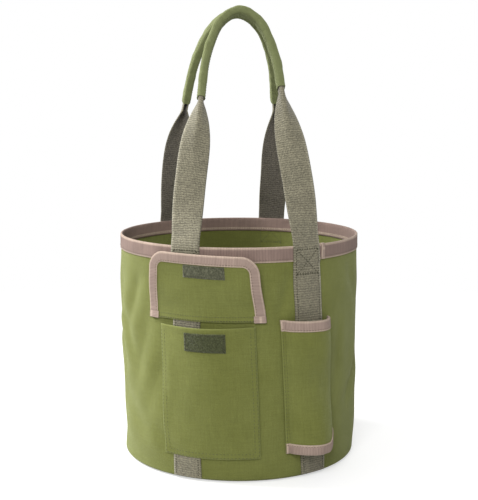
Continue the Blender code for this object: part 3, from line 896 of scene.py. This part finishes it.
def webbing_grid(name):
    """The loop's middle sheet, and the places, widths and depths along its grip."""
    places, width, depth, up, hand = loop_frames(name)
    up, hand = up[:, None], hand[:, None]
    look = HANDLES[name]
    near = (up > -0.012) & (up < 0.05)
    places = np.where(near, soften(places), places)
    across = np.linspace(-1, 1, 21)
    across = np.sign(across) * np.abs(across) ** 1.15 * WEBBING_WIDTH / 2
    start, end = look["fold_start"], np.where(hand > 0, *look["fold_end"])
    fold = FOLD_DEGREES * np.clip((up - start) / (end - start), 0, 1) ** FOLD_SHAPE
    sideways, deep = fold_lines(fold, across, look["crush"])
    curl = across**2 / (2 * BAG_RADIUS) * (1 - smooth(up / 0.06))
    free = smooth(up / 0.05) * (1 - smooth((up - 0.1) / 0.05))
    cup = 0.0016 * (across / (WEBBING_WIDTH / 2)) ** 2 * free
    grid = places[:, None] + width[:, None] * sideways[..., None]
    sway = ripple(grid, 0.11, 51 + len(name), (1, 1, 0.7)) * 0.0014 * free
    grid = grid + depth[:, None] * (deep + curl + cup + sway)[..., None]
    z = np.clip(places[:, 2:], STRAP_FOOT, BAG_HEIGHT)
    angle = strap_angle(name, hand, z) - hand * np.degrees(across / BAG_RADIUS)
    sewn = on_wall(angle, z, strap_lift(z))
    flat = (1 - smooth((up + 0.012) / 0.01))[..., None]
    turn = handle_turn(name)
    keep = (up >= np.where(hand > 0, *look["grip_start"]))[:, 0]
    frames = [turned(part[keep], turn) for part in (places, width, depth)]
    return turned(grid, turn) * (1 - flat) + sewn * flat, frames


def rounded_box(half_width, low, high, near_corner, far_corner):
    """Outline of a box with round corners, as (across, deep) points."""
    near, far = (low + near_corner, near_corner), (high - far_corner, far_corner)
    quarters = ((1, near, 270), (1, far, 0), (-1, far, 90), (-1, near, 180))
    points = []
    for side, (level, corner), start in quarters:
        turns = np.radians(np.linspace(start, start + 90, 6))
        across = side * (half_width - corner) + corner * np.cos(turns)
        points.append(np.stack([across, level + corner * np.sin(turns)], -1))
    return np.concatenate(points)


def add_grip(name, places, width, depth):
    deep = GRIP_DEPTH * (1 - HANDLES[name]["crush"])
    section = rounded_box(0.0046, -0.0016, deep, 0.0037, 0.0026)
    sleeve = places[:, None] + width[:, None] * section[:, :1] + depth[:, None] * section[:, 1:]
    out = unit(sleeve - sleeve.mean(1, keepdims=True))
    count = np.arange(len(places))
    inner = smooth(np.minimum(count, count[::-1]) / 12)[:, None]
    rumple = np.abs(ripple(sleeve, 0.016, 61 + len(name))) * 0.0004
    rumple += np.clip(ripple(sleeve, 0.03, 65 + len(name)), 0, 1) * 0.0006
    sleeve = sleeve + out * (rumple * (0.3 + 0.7 * inner))[..., None]
    look = (GRIP_CLOTH, GRIP_GREEN, "canvas")
    sew(name + "_grip", sleeve, *look, name, name + "_grip_sleeve", tube=True)
    seam = places + depth * (deep - 0.0032)
    edge = width * 0.0055
    rows = [(seam + edge, width), (seam - edge, -width)]
    stitches(name + "_grip_stitches", rows, GREEN_THREAD_PAINTED_SHADE, name, width=0.0007)


def add_handle(name):
    grid, frames = webbing_grid(name)
    nodes = [name + "_webbing"]
    nodes += [name.replace("handle", side + "_strap") for side in ("left", "right")]
    webbing = sew(name + "_band", grid, WEBBING, OLIVE_WEBBING, "webbing", None, *nodes)
    bend(webbing, name, name + "_swing", BAG_HEIGHT + 0.001, BAG_HEIGHT + 0.028)
    add_grip(name, *frames)


def add_strap_stitches():
    """Both edges of each strap, and a crossed box below the rim."""
    side = math.degrees((WEBBING_WIDTH / 2 - 0.0032) / BAG_RADIUS)
    foot, (low, top) = STRAP_FOOT + 0.002, STRAP_BOX
    edges = [((at, foot), (at, top)) for at in (-side, side)]
    bars = [((-side, z), (side, z)) for z in (low, low + 0.0016, top)]
    cross = [((at, low), (-at, top)) for at in (-side, side)]
    rows = []
    inside = []
    for name in HANDLES:
        for hand in (-1, 1):
            for start, finish in edges + bars + cross:
                away, z = np.linspace(start, finish, 150).T
                degrees = away + strap_angle(name, hand, z)
                rows.append(seam_row(degrees, z, strap_lift(z) + WEBBING / 2 + GAP))
                inside.append(inner_row(degrees, z, GAP))
    stitches("strap_stitches", rows, OLIVE_THREAD, pitch=0.0034, width=0.0011)
    stitches("strap_stitches_inside", inside, GREEN_THREAD_PAINTED_SHADE, pitch=0.0034)


# Front pocket

POCKET_BULGE = 0.0065
POCKET_WIDTH = math.radians(POCKET_ANGLES[1] - POCKET_ANGLES[0]) * BAG_RADIUS
POCKET_HEIGHT = POCKET_HIGH - POCKET_LOW
MOUTH_TILT = 0.0016


def pocket_place(across, up):
    """Angle and height on the wall: across and up run from 0 to 1 over the pocket."""
    left, right = POCKET_ANGLES
    sag = 0.0007 * np.sin(math.pi * np.clip(across, 0, 1)) - MOUTH_TILT * across
    z = POCKET_LOW + POCKET_HEIGHT * up - sag * smooth((up - 0.8) / 0.2)
    return left + (right - left) * across + askew(z, POCKET_TWIST), z


def pocket_point(across, up, lift=0.0):
    """A point of the pocket's middle sheet, lifted off it."""
    degrees, z = pocket_place(across, up)
    swell = np.sin(math.pi * np.clip(across, 0, 1)) ** 0.7 * smooth(up * 1.1)
    place = polar(BAG_RADIUS, degrees, z)
    wrinkles = ripple(place, 0.07, 71, (1, 1, 0.5)) * 0.0007
    wrinkles += ripple(place, 0.03, 72, (1, 1, 0.4)) * 0.00022
    inside = smooth(np.minimum(across, 1 - across) / 0.12) * smooth(up / 0.1)
    return on_wall(degrees, z, SEWN_LIFT + POCKET_BULGE * swell + wrinkles * inside + lift)


def pocket_row(across, up, lift=ON_CANVAS):
    """A line of sewing on the pocket, with its outward normals."""
    return pocket_point(across, up, lift), wall_normals(*pocket_place(across, up))


def add_pocket():
    across = np.linspace(0, 1, 90)[:, None]
    up = np.linspace(0, 1, 110)
    pressed = 0.5 + 0.5 * smooth(np.minimum(across, 1 - across) / 0.015)
    thickness = CANVAS * pressed * (1 + 0.5 * smooth((up - 0.95) / 0.01))
    grid = pocket_point(across, up)
    sew("front_pocket_cloth", grid, thickness, GREEN, "canvas", "bag", "front_pocket")
    rows = []
    for inset in (0.0014, 0.0065):
        side, floor = inset / POCKET_WIDTH, inset / POCKET_HEIGHT
        rows += [pocket_row(at, np.linspace(floor, 0.995, 120)) for at in (side, 1 - side)]
        rows.append(pocket_row(np.linspace(side, 1 - side, 120), floor))
    stitches("pocket_stitches", rows, GREEN_THREAD_PAINTED_SHADE, pitch=0.0046)


def patch_stitches(name, body, low, high, sheet, lift):
    """Sewing along the sides of a box in the two numbers that sheet takes."""
    box = (low, (high[0], low[1]), high, (low[0], high[1]), low)
    rows = [sheet(*np.linspace(*side, 40).T, lift) for side in zip(box, box[1:])]
    stitches(name, rows, OLIVE_THREAD, body, pitch=0.003, length=0.0022)


def add_loop_patch():
    left, right = POCKET_ANGLES
    across = (np.linspace(*LOOP_ANGLES, 60) - left) / (right - left)
    up = (np.linspace(LOOP_LOW + 0.0015, LOOP_HIGH + 0.0025, 30) - POCKET_LOW) / POCKET_HEIGHT
    grid = pocket_point(across[:, None], up, CANVAS * 0.9 + 0.0007)
    grid = grid + grid_normals(grid) * 0.00025 * ripple(grid, 0.0022, 81)[..., None]
    sew("loop_patch", grid, 0.0012, LOOP_NAP, "hook_and_loop", "bag", "pocket_loop_patch")
    inset = 0.0016
    side, floor = inset / POCKET_WIDTH, inset / POCKET_HEIGHT
    low, high = (across[0] + side, up[0] + floor), (across[-1] - side, up[-1] - floor)
    lift = CANVAS * 0.9 + 0.0015
    patch_stitches("loop_patch_stitches", "bag", low, high, pocket_row, lift)


# Tool sleeve

TUBE_BULGE = 0.019
TUBE_FLANGE = 0.083
TUBE_CURL = 0.014
TUBE_ROUNDNESS = 0.72
TUBE_WIDTH = math.radians(TUBE_ANGLES[1] - TUBE_ANGLES[0]) * BAG_RADIUS


def tube_place(across, z):
    """Angle and height on the wall. The sleeve's foot is drawn up at its right end."""
    left, right = TUBE_ANGLES
    curl = smooth((across - 0.7) / 0.3) * (1 - smooth((z - TUBE_LOW) / 0.06))
    z = z + TUBE_CURL * curl
    return left + (right - left) * across + askew(z, SLEEVE_TWIST), z


def tube_point(across, z):
    """A point of the sleeve's middle sheet: flat at its left edge, then bulging out."""
    up = (z - TUBE_LOW) / (TUBE_HIGH - TUBE_LOW)
    degrees, z = tube_place(across, z)
    share = np.clip((across - TUBE_FLANGE) / (1 - TUBE_FLANGE), 0, 1)
    swell = np.sin(math.pi * share) ** TUBE_ROUNDNESS
    waist = 1.02 - 0.48 * np.exp(-(((up - 0.5) / 0.2) ** 2)) + 0.12 * (1 - smooth(up / 0.4))
    place = polar(BAG_RADIUS, degrees, z)
    rumple = ripple(place, 0.05, 91, (1, 1, 0.5)) * 0.001 + ripple(place, 0.02, 92) * 0.0003
    return on_wall(degrees, z, SEWN_LIFT + (TUBE_BULGE * waist + rumple) * swell)


def tube_sheet(across, z, lift):
    """Points and outward normals of the sleeve, lifted off its middle sheet."""
    return lifted(tube_point, across, z, wall_normals(*tube_place(across, z)), lift)


def add_tool_sleeve():
    across = np.linspace(0, 1, 80)
    grid = tube_point(across[:, None], np.linspace(TUBE_LOW, TUBE_HIGH, 100))
    sew("tool_sleeve_cloth", grid, CANVAS, GREEN, "canvas", "bag", "tool_sleeve")
    rows = []
    for name, edge, towards in (("top", TUBE_HIGH, 1), ("bottom", TUBE_LOW, -1)):

        def sheet(past, lift):
            return tube_sheet(across, edge + towards * past, lift)[0]

        grid = folded(sheet, SLEEVE_TAPE_WIDTH, TAPE_LIFT)
        sew_tape(f"sleeve_{name}_tape", grid, SLEEVE_TAUPE_TAPE, f"sleeve_{name}_binding")
        rows.append(tube_sheet(across, edge - towards * (SLEEVE_TAPE_WIDTH - 0.002), ON_TAPE))
    stitches("sleeve_tape_stitches", rows, TAUPE_THREAD_PAINTED_SHADE)
    z = np.linspace(TUBE_LOW + 0.004, TUBE_HIGH - 0.004, 90)
    sides = (0.0014, 0.0052, TUBE_WIDTH - 0.0012)
    rows = [tube_sheet(at / TUBE_WIDTH, z, ON_CANVAS) for at in sides]
    stitches("sleeve_stitches", rows, GREEN_THREAD_PAINTED_SHADE, pitch=0.0046)


# Pocket flap

FLAP_ANGLE = math.degrees(math.atan2(FLAP_PIVOT[0], -FLAP_PIVOT[1]))
FLAP_RADIUS = math.hypot(FLAP_PIVOT[0], FLAP_PIVOT[1])
FLAP_TAPER = 0.085
FLAP_CORNER = 0.02
FLAP_SAG = 0.0135
FLAP_TILT = 0.03
FLAP_FLARE = 0.004
FLAP_TAB = 0.0075
FLAP_BEND = (0.215, 0.2345)
FLAP_OUT = polar(1.0, FLAP_ANGLE, 0.0)
FLAP_SIDE = polar(1.0, FLAP_ANGLE + 90, 0.0)


def flap_narrowing(z):
    return 1 - FLAP_TAPER * (z - FLAP_SEAM_Z) / (FLAP_TOP - FLAP_SEAM_Z)


def flap_span(node):
    """Lowest and highest place of a node along the flap's width."""
    points = corners(node)
    x = points @ FLAP_SIDE / flap_narrowing(points[:, 2])
    return float(x.min()), float(x.max())


FLAP_HALF_WIDTH = flap_span("flap_panel")[1]
HOOK_X = flap_span("flap_hook_patch")


def flap_point(x, z):
    """A point of the raised flap's middle sheet: x along its width, z up."""
    side = x * flap_narrowing(z)
    degrees = FLAP_ANGLE + np.degrees(np.arcsin(np.clip(side / BAG_RADIUS, -1, 1)))
    wall_out = np.sqrt((wall_radius(degrees, z) + SEWN_LIFT) ** 2 - side**2)
    free_out = FLAP_RADIUS - FLAP_SAG * (x / FLAP_HALF_WIDTH) ** 2
    rise = smooth((z - FLAP_SEAM_Z - 0.006) / 0.045)
    height = z - FLAP_TILT * x * smooth((z - FLAP_SEAM_Z) / 0.06)
    place = FLAP_SIDE * side[..., None] + np.array([0, 0, 1]) * height[..., None]
    wave = ripple(place, 0.06, 101) * 0.0008 * rise
    flare = FLAP_FLARE * smooth((z - 0.25) / 0.045)
    out = wall_out * (1 - rise) + free_out * rise + wave + flare
    return place + FLAP_OUT * out[..., None]


def flap_sheet(x, z, lift):
    """Points and outward normals of the flap, lifted off its middle sheet."""
    return lifted(flap_point, x, z, FLAP_OUT, lift)


def flap_edge(x):
    past = np.maximum(np.abs(x) - (FLAP_HALF_WIDTH - FLAP_CORNER), 0)
    return FLAP_TOP - FLAP_CORNER + np.sqrt(np.maximum(FLAP_CORNER**2 - past**2, 0))


def bend_flap(item):
    bend(item, "pocket_flap", "flap_hinge", *FLAP_BEND)


def flap_outline():
    """The flap's free edge from its left foot to its right foot, with directions out of it."""
    step = 0.002
    straight, high = FLAP_HALF_WIDTH - FLAP_CORNER, FLAP_TOP - FLAP_CORNER
    z = np.arange(FLAP_SEAM_Z + FLAP_TAB, high, step)
    left = np.stack([0 * z - FLAP_HALF_WIDTH, z, 0 * z - 1, 0 * z], -1)
    turns = np.radians(np.linspace(0, 90, 16))
    out = np.stack([-np.cos(turns), np.sin(turns)], -1)
    corner = np.concatenate([(-straight, high) + FLAP_CORNER * out, out], -1)
    x = np.arange(-straight + step, straight, step)
    top = np.stack([x, 0 * x + FLAP_TOP, 0 * x, 0 * x + 1], -1)
    mirror = np.array([-1, 1, -1, 1])
    return np.concatenate([left, corner, top, corner[::-1] * mirror, left[::-1] * mirror])


def flap_edge_tape(outline, width, lift):
    """A grid of tape folded over the flap's edge along an outline."""

    def sheet(past, lift):
        x, z = (outline[:, :2] + outline[:, 2:] * past).T
        return flap_sheet(x, z, lift)[0]

    return folded(sheet, width, lift)


def add_flap():
    x = np.sin(np.linspace(-1, 1, 100) * math.pi / 2 * 0.93)
    x = x[:, None] / x[-1] * FLAP_HALF_WIDTH
    z = FLAP_SEAM_Z + (flap_edge(x) - FLAP_SEAM_Z) * np.linspace(0, 1, 60)
    nodes = ("flap_panel", "flap_hem")
    bend_flap(sew("flap_cloth", flap_point(x, z), CANVAS, GREEN, "canvas", None, *nodes))
    outline = flap_outline()
    grid = flap_edge_tape(outline, FLAP_TAPE_WIDTH, TAPE_LIFT)
    bend_flap(sew_tape("flap_tape", grid, FLAP_TAUPE_TAPE, "flap_binding", body=None))
    x, z = (outline[:, :2] - outline[:, 2:] * (FLAP_TAPE_WIDTH - 0.0018)).T
    under, normals = flap_sheet(x, z, -ON_TAPE)
    rows = [flap_sheet(x, z, ON_TAPE), (under, -normals)]
    bend_flap(stitches("flap_tape_stitches", rows, TAUPE_THREAD_PAINTED_SHADE, body=None))
    x = np.linspace(-FLAP_HALF_WIDTH + 0.012, FLAP_HALF_WIDTH - 0.012, 90)
    rows = [flap_sheet(x, FLAP_SEAM_Z + up, ON_CANVAS) for up in (0.0012, 0.0062)]
    # The row nearest the hem's edge is sewn in dark olive thread, which paints the dark shadow
    # line along the flap's hem.
    stitches("flap_seam_shadow_stitches", rows[:1], OLIVE_THREAD)
    stitches("flap_seam_second_stitches", rows[1:], GREEN_THREAD_PAINTED_SHADE)
    # The tape's ends, folded back in a second layer at the flap's two feet
    z = np.linspace(FLAP_SEAM_Z - 0.0012, FLAP_SEAM_Z + FLAP_TAB - 0.0004, 9)
    for name, side in (("left", -1.0), ("right", 1.0)):
        edge = np.stack([0 * z + side * FLAP_HALF_WIDTH, z, 0 * z + side, 0 * z], -1)
        grid = flap_edge_tape(edge, 0.0125, CANVAS / 2 + TAPE * 0.75)
        sew_tape(f"flap_{name}_foot", grid, FLAP_TAUPE_TAPE)


def add_hook_patch():
    x = np.linspace(*HOOK_X, 60)[:, None]
    grid, normal = flap_sheet(x, np.linspace(HOOK_LOW, HOOK_HIGH, 20), CANVAS / 2 + 0.0006)
    grid = grid + normal * 0.0002 * ripple(grid, 0.002, 111)[..., None]
    body, node = "pocket_flap", "flap_hook_patch"
    sew("hook_patch", grid, 0.0011, HOOK_NAP, "hook_and_loop", body, node)
    inset = 0.0016
    low, high = (HOOK_X[0] + inset, HOOK_LOW + inset), (HOOK_X[1] - inset, HOOK_HIGH - inset)
    lift = CANVAS / 2 + 0.0013
    patch_stitches("hook_patch_stitches", body, low, high, flap_sheet, lift)


# Studio

CAMERA_AZIMUTH = -3.5
CAMERA_DISTANCE = 1.5
CAMERA_HEIGHT = 0.494
CAMERA_PITCH = 8.35
CAMERA_LENS = 80.0
# Name, place, power and size of each light
LIGHTS = (
    ("key", (-2.0, 0.55, 1.7), 88, 1.0),
    ("fill", (-0.55, -2.2, 1.7), 36, 0.9),
    ("back", (0.6, 1.9, 1.8), 8, 1.6),
)
WORLD_LIGHT = 0.6


def add_camera():
    camera = add_item("camera", bpy.data.cameras.new("camera"))
    camera.data.sensor_width = 36.0
    camera.data.lens = CAMERA_LENS
    camera.location = polar(CAMERA_DISTANCE, CAMERA_AZIMUTH, CAMERA_HEIGHT)
    camera.rotation_euler = np.radians([90 - CAMERA_PITCH, 0, CAMERA_AZIMUTH])
    bpy.context.scene.camera = camera


def add_light(name, place, power, size):
    lamp = add_item(name, bpy.data.lights.new(name, "AREA"))
    lamp.data.energy = power
    lamp.data.size = size
    lamp.location = place
    aim = Vector((0, 0, 0.25)) - Vector(place)
    lamp.rotation_euler = aim.to_track_quat("-Z", "Y").to_euler()


def add_world():
    """Even soft light, with plain white behind the object where the camera sees it."""
    world = bpy.data.worlds.new("studio")
    world.use_nodes = True
    nodes, links = world.node_tree.nodes, world.node_tree.links
    lit, seen = nodes["Background"], nodes.new("ShaderNodeBackground")
    for light in (lit, seen):
        light.inputs["Color"].default_value = WHITE
    lit.inputs["Strength"].default_value = WORLD_LIGHT
    mix = nodes.new("ShaderNodeMixShader")
    by_camera = nodes.new("ShaderNodeLightPath").outputs["Is Camera Ray"]
    for source, socket in zip((by_camera, lit.outputs[0], seen.outputs[0]), mix.inputs):
        links.new(source, socket)
    links.new(mix.outputs[0], nodes["World Output"].inputs["Surface"])
    bpy.context.scene.world = world


def add_studio():
    rim = polar(FLOOR_FADE[1], np.arange(0, 360, 3.75), 0)
    floor = add_mesh("floor", rim, [list(range(len(rim)))], floor_material())
    floor.location.z = -0.0005
    for light in LIGHTS:
        add_light(*light)
    add_world()
    bpy.context.scene.view_settings.view_transform = "Standard"


add_wall()
add_base()
add_rim_tape()
add_inner_tapes()
for handle in HANDLES:
    add_handle(handle)
add_strap_stitches()
add_pocket()
add_loop_patch()
add_tool_sleeve()
add_flap()
add_hook_patch()
add_studio()
add_camera()
